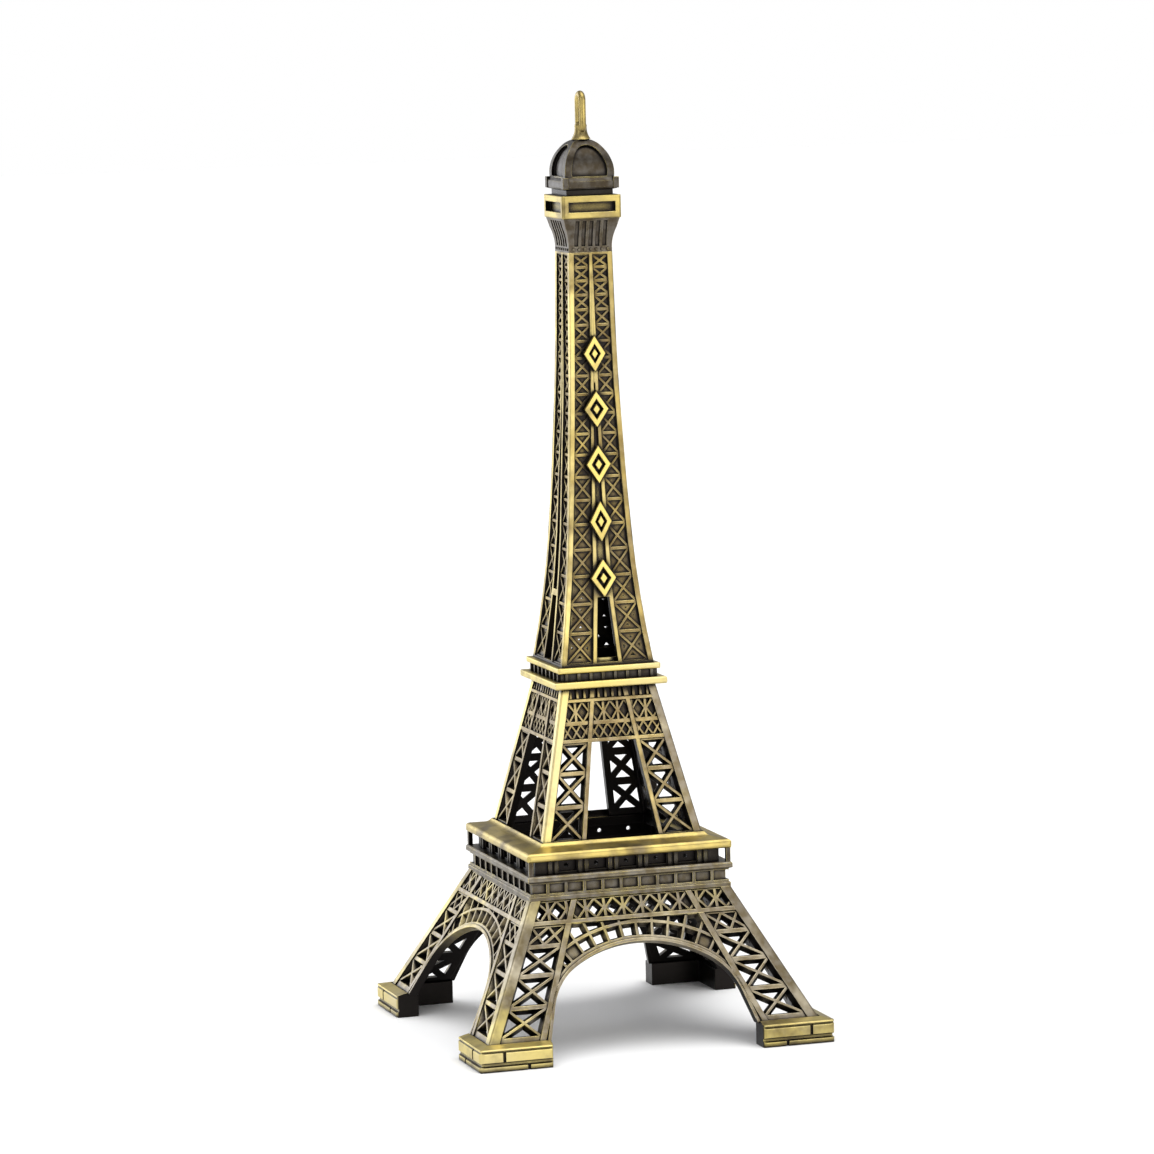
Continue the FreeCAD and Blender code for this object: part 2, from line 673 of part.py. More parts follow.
def gallery_pillars():
    """Four thin pillars, one at each corner of the first platform, between ledge and deck."""
    centre, width = size["deck_half"] - size["pillar_inset"], size["pillar_width"]
    group = document.addObject("Part::Compound", "gallery_pillars")
    pillars = []
    for quarter in range(4):
        pillar = document.addObject("Part::Box", f"gallery_pillar_{quarter}")
        pillar.setExpression("Length", "sizes.pillar_width")
        pillar.setExpression("Width", "sizes.pillar_width")
        pillar.setExpression("Height", "sizes.gallery_top - sizes.frieze_top")
        spot = Rotation(Vector(0, 0, 1), 90 * quarter).multVec(Vector(centre, -centre, size["frieze_top"]))
        pillar.Placement = Placement(spot - Vector(width / 2, width / 2, 0), Rotation())
        pillars.append(pillar)
    group.Links = pillars
    group.Label = "gallery_pillars"
    finish(group)


def deck_plate():
    """First deck: rounded edge, sloping top and a curb that the second stage stands in."""
    half, low, seat = size["deck_half"], size["gallery_top"], size["deck_seat"]
    curb = size["upper_half_low"] + size["clearance"]
    profile = [(half - 0.30, low), ((half - 0.05, low + 0.22), (half, low + 0.66)),
               ((half - 0.12, low + 1.10), (half - 0.50, seat)), (half - 2.40, seat + 0.32),
               ((curb + 0.35, seat + 0.62), (curb + 0.05, seat + 1.0))]
    body = square_body("deck_plate", profile, "deck_hollow")
    step = new_sketch(body, "seat", height="sizes.deck_seat")
    draw(step, rectangle(-curb, curb, -curb, curb))
    pocket(body, step, reverse=True)
    round_corners(body, half, 0.5)
    finish(body)


# ---------------------------------------------------------------- second stage

UPPER = Slope("upper", "deck_seat", "upper_half_low", "upper_top", "upper_half_high")


def upper_leg_lattice(quarter, side):
    """Three crossed panels of a second-stage leg, with its inner member."""
    levels = [size[f"upper_level_{number}"] for number in (1, 2, 3)]
    leg_side(UPPER, quarter, side, levels, size["upper_girder_bottom"], cross_cell, "upper_leg_lattice")


def upper_girder(quarter):
    """Two lattice rows and a row of short posts under the second platform, all blind."""
    slope, rim = UPPER, size["rim_width"]
    bottom, top, bar = size["upper_girder_bottom"], slope.high, size["upper_bar"]
    bar_2, bar_3 = size["upper_bar_2"], size["upper_bar_3"]
    bar_top = bottom + size["upper_girder_bar"]
    rib, post = size["rib_width"] * 0.7, size["rib_width"]
    rows = [(bar_top, bar_2, 1.50, running_cross_cell, 0.0, rib),
            (bar_2 + bar, bar_3, 2.34, lozenge_cell, rib, rib),
            (bar_3 + bar, top - 0.15, 1.17, open_cell, 0.0, post)]
    holes = []
    for low, high, pitch, cell, gap, width in rows:
        row_holes = []
        reach = int(slope.outer(low) / pitch) + 1
        for bay in range(-reach, reach + 1):
            left, right = (bay - 0.5) * pitch + gap / 2, (bay + 0.5) * pitch - gap / 2
            row_holes += cell(slope.flat(rectangle(left, right, low, high)), width, rim)
        holes += within(row_holes, slope.across(slope.outer, low, high))
    raised = [slope.across(slope.outer, bottom, bar_top)]
    for side in (1, -1):
        ends = slope.flat([(side * slope.member(z), z) for z in (bottom, bar_3)])
        holes = clear_of_member(holes, *ends, size["upper_member"] + rim)
        raised.append(flip(slope.flat(between(slope.free_side, slope.inner, bar_top, bar_3)), side))
    raised.append(slope.across(slope.outer, bar_3, bar_3 + bar))
    outline = slope.across(slope.outer, bottom, top)
    plate(f"{FACES[quarter]}_upper_girder", slope, quarter, outline, holes, raised, see_through=False)


# ---------------------------------------------------------------- second platform

def rounded_plate(label, half, low, top, over=()):
    """Square plate with rounded edges and corners; over continues its profile upwards."""
    profile = [(half - 0.32, low), ((half - 0.08, low + 0.10), (half, low + 0.32)), (half, top - 0.30),
               ((half - 0.07, top - 0.08), (half - 0.28, top))]
    body = square_body(label, profile + list(over), "shelf_hollow")
    round_corners(body, half, 0.4)
    return body


def shelf_plate():
    finish(rounded_plate("shelf_plate", size["shelf_half"], size["upper_top"], size["shelf_top"]))


def balcony_ring():
    """Narrow wall between the two plates of the second platform, with small pilasters."""
    half, low, top = size["balcony_half"], size["shelf_top"], size["balcony_top"]
    body = square_body("balcony_ring", [(half, low), (half, top)], "shelf_hollow")
    pilasters = new_sketch(body, "pilasters", "XZ_Plane", height="sizes.balcony_half")
    reach = size["balcony_post_half"]
    for bay in range(-4, 4):
        centre = (bay + 0.5) * size["balcony_pitch"]
        draw(pilasters, rectangle(centre - reach, centre + reach, low, top))
    quarter_turns(body, pad(body, pilasters, "sizes.balcony_relief"))
    finish(body)


def cap_plate():
    """Upper plate of the second platform, with a raised register inside the column's foot."""
    top = size["cap_top"]
    register = size["column_low"] - size["column_skin"] - size["column_lining"] - size["register_gap"]
    over = [(register, top), (register - 0.15, top + 1.0)]
    finish(rounded_plate("cap_plate", size["cap_half"], size["balcony_top"], top, over))


# ---------------------------------------------------------------- column

def column_half(z):
    """Half width of the column: two gentle curves that meet smoothly at column_mid_z."""
    mid_z, mid, lean = size["column_mid_z"], size["column_mid"], size["column_mid_slope"]
    if z <= mid_z:
        end_z, end = size["cap_top"], size["column_low"]
    else:
        end_z, end = size["column_top"], size["column_high"]
    span = end_z - mid_z
    bend = (end - mid - lean * span) / span ** 2
    return mid + lean * (z - mid_z) + bend * (z - mid_z) ** 2


def strip_half(z):
    """Half width of the plain strip up the middle of a column face: straight, then a long taper."""
    slit_top, top, widest, tip = size["slit_top"], size["column_top"], size["slit_half"], size["strip_tip"]
    if z < slit_top:
        return widest + size["slit_lean"] * (slit_top - z)
    return tip + (widest - tip) * ((top - z) / (top - slit_top)) ** size["strip_power"]


def corner_strip(z):
    """Inner edge of the plain strip beside a column corner."""
    return column_half(z) - size["column_strip"]


def side_marks(low, high):
    return sorted({low, min(max(size["column_mid_z"], low), high), high})


def shell(low, high, outer, inner):
    """Side view of a layer of the front wall, between two depths below its face."""
    marks = side_marks(low, high)
    face = curve(lambda z: outer - column_half(z), marks)
    back = curve(lambda z: inner - column_half(z), marks[::-1])
    return face + back


def column_levels():
    """Heights of the lattice panels, which get shorter by a constant ratio."""
    low, top = size["cap_top"] + 0.35, size["column_top"] - 0.30
    bays, ratio = round(size["column_bays"]), size["column_ratio"]
    first = (top - low) * (1 - ratio) / (1 - ratio ** bays)
    return [low + first * (1 - ratio ** step) / (1 - ratio) for step in range(bays + 1)]


def slots():
    """The slit between the two rails of the lower column, and the tapered groove above it."""
    rail, low, high = size["slit_rail"], size["cap_top"] + 0.5, size["slit_top"]
    foot, head = strip_half(low) - rail, strip_half(high - SHORTEST_SIDE) - rail
    slit = [(-foot, low), (foot, low), (head, high), (-head, high)]
    groove_low, groove_high = high + 1.0, size["groove_top"]
    wide, narrow = strip_half(groove_low) - rail, size["groove_tip"]
    return slit, [(-wide, groove_low), (wide, groove_low), (narrow, groove_high), (-narrow, groove_high)]


def column_wall(quarter):
    """One face of the column, mitred at the corners: raised strips over a lined lattice."""
    low, open_top, top = size["cap_top"], size["column_open_top"], size["column_top"]
    skin, depth = size["column_skin"], size["column_skin"] + size["column_lining"]
    relief, gap = size["relief"], size["bar_width"] / 2
    slit, groove = slots()
    levels = column_levels()

    pits, lights = [], []
    for start, end in zip(levels, levels[1:]):
        corners = between(strip_half, corner_strip, start + gap / 2, end - gap / 2)
        for hole in cross_cell(corners, size["column_rib"], size["column_rim"]):
            hole = tidy(hole, SHORTEST_SIDE)
            light = inset(hole, [size["column_light_rim"]] * len(hole)) if end < open_top else []
            pits += [hole, mirrored(hole)]
            lights += [light, mirrored(light)]

    marks = [levels[-1], (levels[-1] + size["slit_top"]) / 2, size["slit_top"]]
    inner_edge = curve(strip_half, marks) + [(strip_half(levels[0]), levels[0])]
    field = curve(corner_strip, side_marks(levels[0], levels[-1])) + inner_edge

    strips = new_body(f"{FACES[quarter]}_column_strips")
    lattice = new_body(f"{FACES[quarter]}_column_lattice")
    layers = ((strips, "strips", 0, relief + 0.15, [field, flip(field, -1), slit, groove]),
              (lattice, "lattice", relief, skin, pits + [slit, groove]),
              (lattice, "lining", skin, depth, lights + [slit]))
    for body, name, outer, inner, openings in layers:
        side_view = new_sketch(body, name, "YZ_Plane")
        draw(side_view, shell(low, top, outer, inner))
        pad(body, side_view, "2 * sizes.column_low + 2", side="Symmetric")
        cells = new_sketch(body, f"{name}_openings", "XZ_Plane")
        for opening in openings:
            if opening:
                draw(cells, opening)
        pocket(body, cells, reverse=True)
    reach = size["column_low"] + 3
    for body in (strips, lattice):
        mitre = new_sketch(body, "mitre")
        draw(mitre, [(0, 0), (reach, -reach), (reach, 1), (-reach, 1), (-reach, -reach)])
        pocket(body, mitre, side="Symmetric")
        turned(body, quarter)
    wall = document.addObject("Part::Fuse", f"column_wall_{FACES[quarter]}")
    wall.Base, wall.Tool = strips, lattice
    wall.Label = f"column_wall_{FACES[quarter]}"
    finish(wall)


def column_rosettes():
    """Five raised lozenge ornaments up the front of the column, each a frame round a boss."""
    lozenges = [(73.0, 5.9, 4.1), (82.0, 6.3, 3.5), (91.05, 5.9, 3.9), (99.8, 5.6, 3.9), (108.6, 5.6, 3.5)]
    stroke, boss_share, parts = size["rosette_stroke"], size["rosette_boss"], []
    for index, (height, tall, wide) in enumerate(lozenges):
        body = new_body(f"rosette_{index}")
        shape = new_sketch(body, "lozenge", "XZ_Plane")
        outer = [(0, -tall / 2), (wide / 2, 0), (0, tall / 2), (-wide / 2, 0)]
        draw(shape, outer)
        draw(shape, inset(outer, [stroke] * 4))
        pad(body, shape, "sizes.rosette_relief")
        boss = new_sketch(body, "boss", "XZ_Plane")
        draw(boss, [(x * boss_share, y * boss_share) for x, y in outer])
        pad(body, boss, "sizes.rosette_relief")
        slope = column_half(height - 0.5) - column_half(height + 0.5)
        lean = Rotation(Vector(1, 0, 0), -math.degrees(math.atan(slope)))
        body.Placement = Placement(Vector(0, -column_half(height), height), lean)
        parts.append(body)
    group = document.addObject("Part::Compound", "column_rosettes")
    group.Label = "column_rosettes"
    group.Links = parts
    finish(group)


# ---------------------------------------------------------------- head

def neck():
    """Flared neck between column and cabin, fluted on each face, with a row of beads at its foot."""
    low, top, half = size["column_top"], size["neck_top"], size["column_high"]
    spigot, register, reach, bead = (size[name] for name in
                                     ("spigot_half", "clearance", "flute_half", "bead_half"))

    def flare(depth):
        return [(half - depth, low), ((half + 0.12 - depth, low + 2.2), (half + 0.62 - depth, low + 3.9)),
                (half + 1.05 - depth, top)]

    ribs = square_body("neck_ribs", flare(0))
    for name, plane in (("flutes_front", "XZ_Plane"), ("flutes_side", "YZ_Plane")):
        flutes = new_sketch(ribs, name, plane)
        for bay in range(-2, 3):
            centre = bay * size["flute_pitch"]
            draw(flutes, rectangle(centre - reach, centre + reach, low + 0.95, top - 0.35))
        pocket(ribs, flutes, side="Symmetric")
    beads = new_sketch(ribs, "beads", "XZ_Plane", height="sizes.column_high - 0.1")
    for bay in range(-3, 4):
        centre = bay * size["bead_pitch"]
        draw(beads, rectangle(centre - bead, centre + bead, low + 0.50 - bead, low + 0.50 + bead))
    quarter_turns(ribs, pad(ribs, beads, "sizes.bead_relief"))
    inside = half - size["column_skin"] - size["column_lining"] - register
    base = [(inside, low - 1.6), (inside, low)]
    core = square_body("neck_core", base + flare(size["flute_depth"]) + [(spigot, top), (spigot, top + 1.5)])
    whole = document.addObject("Part::Fuse", "neck")
    whole.Base, whole.Tool = ribs, core
    whole.Label = "neck"
    finish(whole)


def cabin():
    """Top cabin: a square box with a long sunk window on each face."""
    half, low, top = size["cabin_half"], size["neck_top"], size["cabin_top"]
    body = square_body("cabin", [(half - 0.25, low), ((half - 0.06, low + 0.07), (half, low + 0.28)),
                                 (half, top - 0.28), ((half - 0.06, top - 0.07), (half - 0.25, top))])
    round_corners(body, half, 0.45)
    socket = new_sketch(body, "socket")
    reach = size["spigot_half"] + size["clearance"]
    draw(socket, rectangle(-reach, reach, -reach, reach))
    pocket(body, socket, side="Symmetric")
    window = new_sketch(body, "window", "XZ_Plane", height="sizes.cabin_half - sizes.window_depth")
    side = size["window_half"]
    draw(window, rectangle(-side, side, low + size["window_sill"], low + size["window_head"]))
    quarter_turns(body, pocket(body, window, "2 * sizes.window_depth", reverse=True))
    finish(body)


def dome():
    """Four-sided ribbed dome on a ledge, with a lug at each corner and a bore for the loop."""
    low, top, crown = size["ledge_bottom"], size["dome_top"], size["cabin_top"]
    half, spigot, waist = size["ledge_half"], size["spigot_half"], size["dome_waist"]

    def vault(depth):
        return [(4.05 - depth, low + 1.9), ((3.68 - depth, low + 4.85), (2.62 - depth, low + 6.65)),
                ((1.80 - depth * 0.6, low + 7.45), (0.95, top))]

    base = [(spigot, crown - 1.3), (spigot, crown), (waist, crown), (waist, low), (half - 0.15, low + 0.12),
            (half, low + 0.4), (half, low + 1.35), (half - 0.20, low + 1.62)]
    ribs = square_body("dome_ribs", base + vault(0))
    panel = [(2.90, low + 2.10), ((2.68, low + 4.4), (1.75, low + 6.15)),
             ((0, low + 7.0), (-1.75, low + 6.15)), ((-2.68, low + 4.4), (-2.90, low + 2.10))]
    for name, plane in (("panel_front", "XZ_Plane"), ("panel_side", "YZ_Plane")):
        face = new_sketch(ribs, name, plane)
        draw(face, panel)
        pocket(ribs, face, side="Symmetric")
    core = square_body("dome_core", [(waist - 0.15, low + 1.0)] + vault(size["dome_sunk"]))
    shell_parts = document.addObject("Part::Fuse", "dome_shell")
    shell_parts.Base, shell_parts.Tool = ribs, core
    lugs = document.addObject("Part::Compound", "dome_lugs")
    blocks, place = [], half - 0.32
    for quarter in range(4):
        lug = document.addObject("Part::Box", f"dome_lug_{quarter}")
        lug.setExpression("Length", "sizes.lug_width")
        lug.setExpression("Width", "sizes.lug_width")
        lug.setExpression("Height", "sizes.lug_height")
        spot = Rotation(Vector(0, 0, 1), 90 * quarter).multVec(Vector(place, -place, low + 0.2))
        lug.Placement = Placement(spot - Vector(size["lug_width"] / 2, size["lug_width"] / 2, 0), Rotation())
        blocks.append(lug)
    lugs.Links = blocks
    crowned = document.addObject("Part::Fuse", "dome_crowned")
    crowned.Base, crowned.Tool = shell_parts, lugs
    bore = document.addObject("Part::Cylinder", "dome_bore")
    bore.setExpression("Radius", "sizes.shank_radius + 0.02")
    bore.setExpression("Height", "sizes.bore_depth + 1")
    bore.Placement = Placement(Vector(0, 0, top - size["bore_depth"]), Rotation())
    bored = document.addObject("Part::Cut", "dome")
    bored.Base, bored.Tool = crowned, bore
    bored.Label = "dome"
    finish(bored)


def hanging_loop():
    """Oval wire loop on a flared stem, with a shank pressed into the dome."""
    wire, gauge, shank = size["loop_wire"] / 2, size["loop_gauge"] / 2, size["shank_radius"]
    top, seat = size["overall"] - wire, size["dome_top"]
    bend_high, bend_low = top - gauge, seat + 1.2 + gauge
    body = new_body("hanging_loop")
    path = new_sketch(body, "path", "YZ_Plane")
    draw(path, [(gauge, bend_high), ((0, top), (-gauge, bend_high)), (-gauge, bend_low),
                ((0, bend_low - gauge), (gauge, bend_low))])
    section = new_sketch(body, "section", height=f"{(bend_low + bend_high) / 2}")
    section.addGeometry(Part.Circle(Vector(0, gauge, 0), Vector(0, 0, 1), wire), False)
    tube = body.newObject("PartDesign::AdditivePipe", "hanging_loop_tube")
    tube.Profile = section
    tube.Spine = (path, [])
    stem = new_sketch(body, "stem", "XZ_Plane")
    draw(stem, [(0, seat - 1.9), (shank, seat - 1.9), (shank, seat), (1.55, seat),
                ((1.12, seat + 0.80), (0.98, seat + 2.10)), ((0.80, seat + 2.45), (0.40, seat + 2.60)),
                (0, seat + 2.60)])
    turn = body.newObject("PartDesign::Revolution", "hanging_loop_stem_turn")
    turn.Profile = stem
    turn.ReferenceAxis = (stem, ["V_Axis"])
    turn.Angle = 360
    finish(body)


# ---------------------------------------------------------------- assembly

for quarter in range(4):
    foot_plinth(quarter)
    corner_post(f"leg_post_{CORNERS[quarter]}", LOWER, quarter, rounding=0.35)
    leg_lattice(quarter, 1)
    leg_lattice(quarter, -1)
    arch(quarter)
    girder(quarter)
frieze_ring()
gallery_ring()
gallery_pillars()
deck_plate()
for quarter in range(4):
    corner_post(f"upper_post_{CORNERS[quarter]}", UPPER, quarter, rounding=0.25)
    upper_leg_lattice(quarter, 1)
    upper_leg_lattice(quarter, -1)
    upper_girder(quarter)
shelf_plate()
balcony_ring()
cap_plate()
for quarter in range(4):
    column_wall(quarter)
column_rosettes()
neck()
cabin()
dome()
hanging_loop()
document.recompute()

failed = [item.Label for item in document.Objects if "Invalid" in item.State or "Error" in item.State]
if failed:
    raise RuntimeError(f"failed: {failed}")
for node in nodes:
    if node.Shape.isNull() or not node.Shape.isValid():
        raise RuntimeError(f"{node.Label} has no valid shape")

os.makedirs("parts", exist_ok=True)
for node in nodes:
    node.Shape.exportStep(f"parts/{node.Label}.step")
    print(f"{node.Label}: {node.Shape.Volume:.1f} mm3, {len(node.Shape.Solids)} solid(s)")
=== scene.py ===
import json
import math

import bpy
from mathutils import Matrix, Vector

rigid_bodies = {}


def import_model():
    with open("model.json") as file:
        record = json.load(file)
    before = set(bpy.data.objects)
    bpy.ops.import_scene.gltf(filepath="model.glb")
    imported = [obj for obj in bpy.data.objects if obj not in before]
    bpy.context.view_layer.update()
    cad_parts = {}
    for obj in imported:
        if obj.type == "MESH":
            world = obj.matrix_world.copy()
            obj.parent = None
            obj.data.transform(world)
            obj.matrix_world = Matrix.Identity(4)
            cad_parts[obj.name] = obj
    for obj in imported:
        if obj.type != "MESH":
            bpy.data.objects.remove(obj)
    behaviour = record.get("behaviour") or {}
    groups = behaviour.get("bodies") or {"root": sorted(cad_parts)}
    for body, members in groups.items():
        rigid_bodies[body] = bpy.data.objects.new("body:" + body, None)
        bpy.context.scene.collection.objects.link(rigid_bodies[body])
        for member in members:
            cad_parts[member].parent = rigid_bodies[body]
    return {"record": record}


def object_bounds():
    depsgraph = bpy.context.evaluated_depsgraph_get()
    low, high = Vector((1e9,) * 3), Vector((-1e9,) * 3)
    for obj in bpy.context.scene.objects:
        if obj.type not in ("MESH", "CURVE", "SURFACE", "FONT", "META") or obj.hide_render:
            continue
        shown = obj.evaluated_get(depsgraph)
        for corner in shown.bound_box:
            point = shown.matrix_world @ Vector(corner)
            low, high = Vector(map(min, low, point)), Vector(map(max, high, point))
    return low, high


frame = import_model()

cad_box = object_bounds()
MM = 0.001


# ---------------------------------------------------------------- shader helpers

class Nodes:
    """Short way to build a node tree: each call adds a node and returns its output."""

    def __init__(self, tree):
        self.tree = tree

    def add(self, kind, inputs=None, **settings):
        node = self.tree.nodes.new(kind)
        for name, value in settings.items():
            setattr(node, name, value)
        for key, value in (inputs or {}).items():
            self.feed(node.inputs[key], value)
        return node

    def feed(self, socket, value):
        """Link the value to the socket if it is a node's output, else set it there."""
        if isinstance(value, bpy.types.NodeSocket):
            self.tree.links.new(value, socket)
        else:
            socket.default_value = value

    def math(self, operation, first, second=0.0, clamp=False):
        node = self.add("ShaderNodeMath", {0: first, 1: second},
                        operation=operation, use_clamp=clamp)
        return node.outputs[0]

    def vector(self, operation, first, second=(0, 0, 0)):
        node = self.add("ShaderNodeVectorMath", {0: first, 1: second}, operation=operation)
        return node.outputs["Value" if operation == "DOT_PRODUCT" else "Vector"]

    def smooth(self, value, low, high):
        """0 below low, 1 above high, with a smooth step between."""
        node = self.add("ShaderNodeMapRange", {"Value": value, "From Min": low, "From Max": high},
                        interpolation_type="SMOOTHSTEP")
        return node.outputs["Result"]

    def span(self, value, low, high, at_low, at_high):
        """at_low below low, at_high above high, and straight between."""
        node = self.add("ShaderNodeMapRange", {"Value": value, "From Min": low, "From Max": high,
                                               "To Min": at_low, "To Max": at_high})
        return node.outputs["Result"]

    def blend(self, share, first, second):
        node = self.add("ShaderNodeMix", data_type="RGBA")
        factor, colour_a, colour_b = node.inputs[0], node.inputs[6], node.inputs[7]
        for socket, value in ((factor, share), (colour_a, first), (colour_b, second)):
            self.feed(socket, value)
        return node.outputs[2]

    def noise(self, scale, detail=3.0, rough=0.55):
        place = self.add("ShaderNodeTexCoord").outputs["Object"]
        node = self.add("ShaderNodeTexNoise", {"Vector": place, "Scale": scale, "Detail": detail,
                                               "Roughness": rough})
        return node.outputs["Fac"]

    def patches(self, scale, detail, low, high):
        return self.smooth(self.noise(scale, detail), low, high)


# ---------------------------------------------------------------- finish of the metal

# Colours, from the rubbed gilding down to the soot and painted shade in the recesses.
GILT = (0.82, 0.67, 0.225, 1)
SILVERED = (0.62, 0.57, 0.53, 1)
BRONZE = (0.34, 0.265, 0.12, 1)
PATINA = (0.080, 0.062, 0.044, 1)
GREY = (0.185, 0.170, 0.158, 1)
SOOT_AND_PAINTED_SHADE = (0.015, 0.013, 0.012, 1)

# Noise, from the broad change of tone to the finest specks: scale per metre, and detail.
# Patches also have the two noise values that they fade in between.
TONE_PATCHES = (46.0, 1.0, 0.38, 0.62)
STRIP_PATCHES = (140.0, 3.0, 0.30, 0.60)
RUB_NOISE = (170.0, 4.0)
RUB_STEP = (0.36, 0.70)
EDGE_PATCHES = (420.0, 3.0, 0.30, 0.62)
DULL_PATCHES = (620.0, 3.0, 0.35, 0.70)
DENT_NOISE = (700.0, 3.0)
SPECK_NOISE = (2600.0, 2.0)

# The shading's rounded edges, and how far they turn from the flat face where gilding shows.
EDGE_RADIUS = 0.18 * MM
EDGE_TURN = (0.01, 0.12)

# A face counts as outward by how far it leans from inward (-1) to outward or up (1); inward faces
# get painted shade.
UNSHADED_FACING_STEP = (-0.30, 0.45)

BRONZE_SHARE = 0.8
SPECK_HEIGHT = 0.35
DENT_DEPTH = 0.05 * MM
DENT_STRENGTH = 0.30
METALLIC = 0.95
ROUGHNESS = (0.27, 0.45)

# The column's plain strips, in mm: one beside each corner, and one up the middle of each face.
# The middle one starts over the slit and narrows to its tip at the column's top.
CORNER_STRIP = 0.80
SLIT_TOP = 70.0
COLUMN_TOP = 124.6
STRIP_TIP = 0.24
STRIP_FLARE = 1.36
STRIP_POWER = 1.3
SLIT_LEAN = 0.08
STRIP_BLUR = 0.04
STRIP_GILDING = 0.7
# Corner strips are rubbed to gilt. The gilt shows fully on the left and fades from x = -1 mm to x
# = 4 mm, a painted shade on the right-hand strips.
STRIP_SHADE_FROM, STRIP_SHADE_TO = -1.0, 4.0
SHADED_STRIP_SHARE = 0.15


def unshaded_facing_share(make, geometry):
    """1 on faces turned away from the tower's axis or up, 0 on faces turned towards the axis,
    which get painted shade.
    """
    place = make.vector("MULTIPLY", geometry.outputs["Position"], (1, 1, 0))
    away = make.vector("NORMALIZE", place)
    facing = make.vector("DOT_PRODUCT", away, geometry.outputs["Normal"])
    up = make.add("ShaderNodeSeparateXYZ", {0: geometry.outputs["Normal"]}).outputs["Z"]
    total = make.math("ADD", facing, make.math("MAXIMUM", up, 0.0))
    return make.smooth(total, *UNSHADED_FACING_STEP)


def column_strips(make, geometry):
    """Up to 1 on the column's plain strips, beside its corners and up the middle of each face."""
    place = make.add("ShaderNodeSeparateXYZ", {0: geometry.outputs["Position"]}).outputs
    x, y, z = (make.math("DIVIDE", place[axis], MM) for axis in ("X", "Y", "Z"))
    # Painted shade: the corner strips' gilt fades towards the right.
    lit_side_share = make.span(x, STRIP_SHADE_FROM, STRIP_SHADE_TO, 1.0, SHADED_STRIP_SHARE)
    x, y = make.math("ABSOLUTE", x), make.math("ABSOLUTE", y)
    across, beside = make.math("MAXIMUM", x, y), make.math("MINIMUM", x, y)
    corner = make.smooth(make.math("SUBTRACT", beside, across),
                         -CORNER_STRIP - STRIP_BLUR, -CORNER_STRIP + STRIP_BLUR)
    rise = make.math("DIVIDE", make.math("SUBTRACT", COLUMN_TOP, z), COLUMN_TOP - SLIT_TOP,
                     clamp=True)
    flare = make.math("MULTIPLY", make.math("POWER", rise, STRIP_POWER), STRIP_FLARE)
    tapered = make.math("ADD", flare, STRIP_TIP)
    depth = make.math("MAXIMUM", make.math("SUBTRACT", SLIT_TOP, z), 0.0)
    width = make.math("ADD", tapered, make.math("MULTIPLY", depth, SLIT_LEAN))
    middle = make.smooth(make.math("SUBTRACT", width, beside), -STRIP_BLUR, STRIP_BLUR)
    return make.math("MAXIMUM", make.math("MULTIPLY", corner, lit_side_share),
                     make.math("MULTIPLY", middle, STRIP_GILDING))


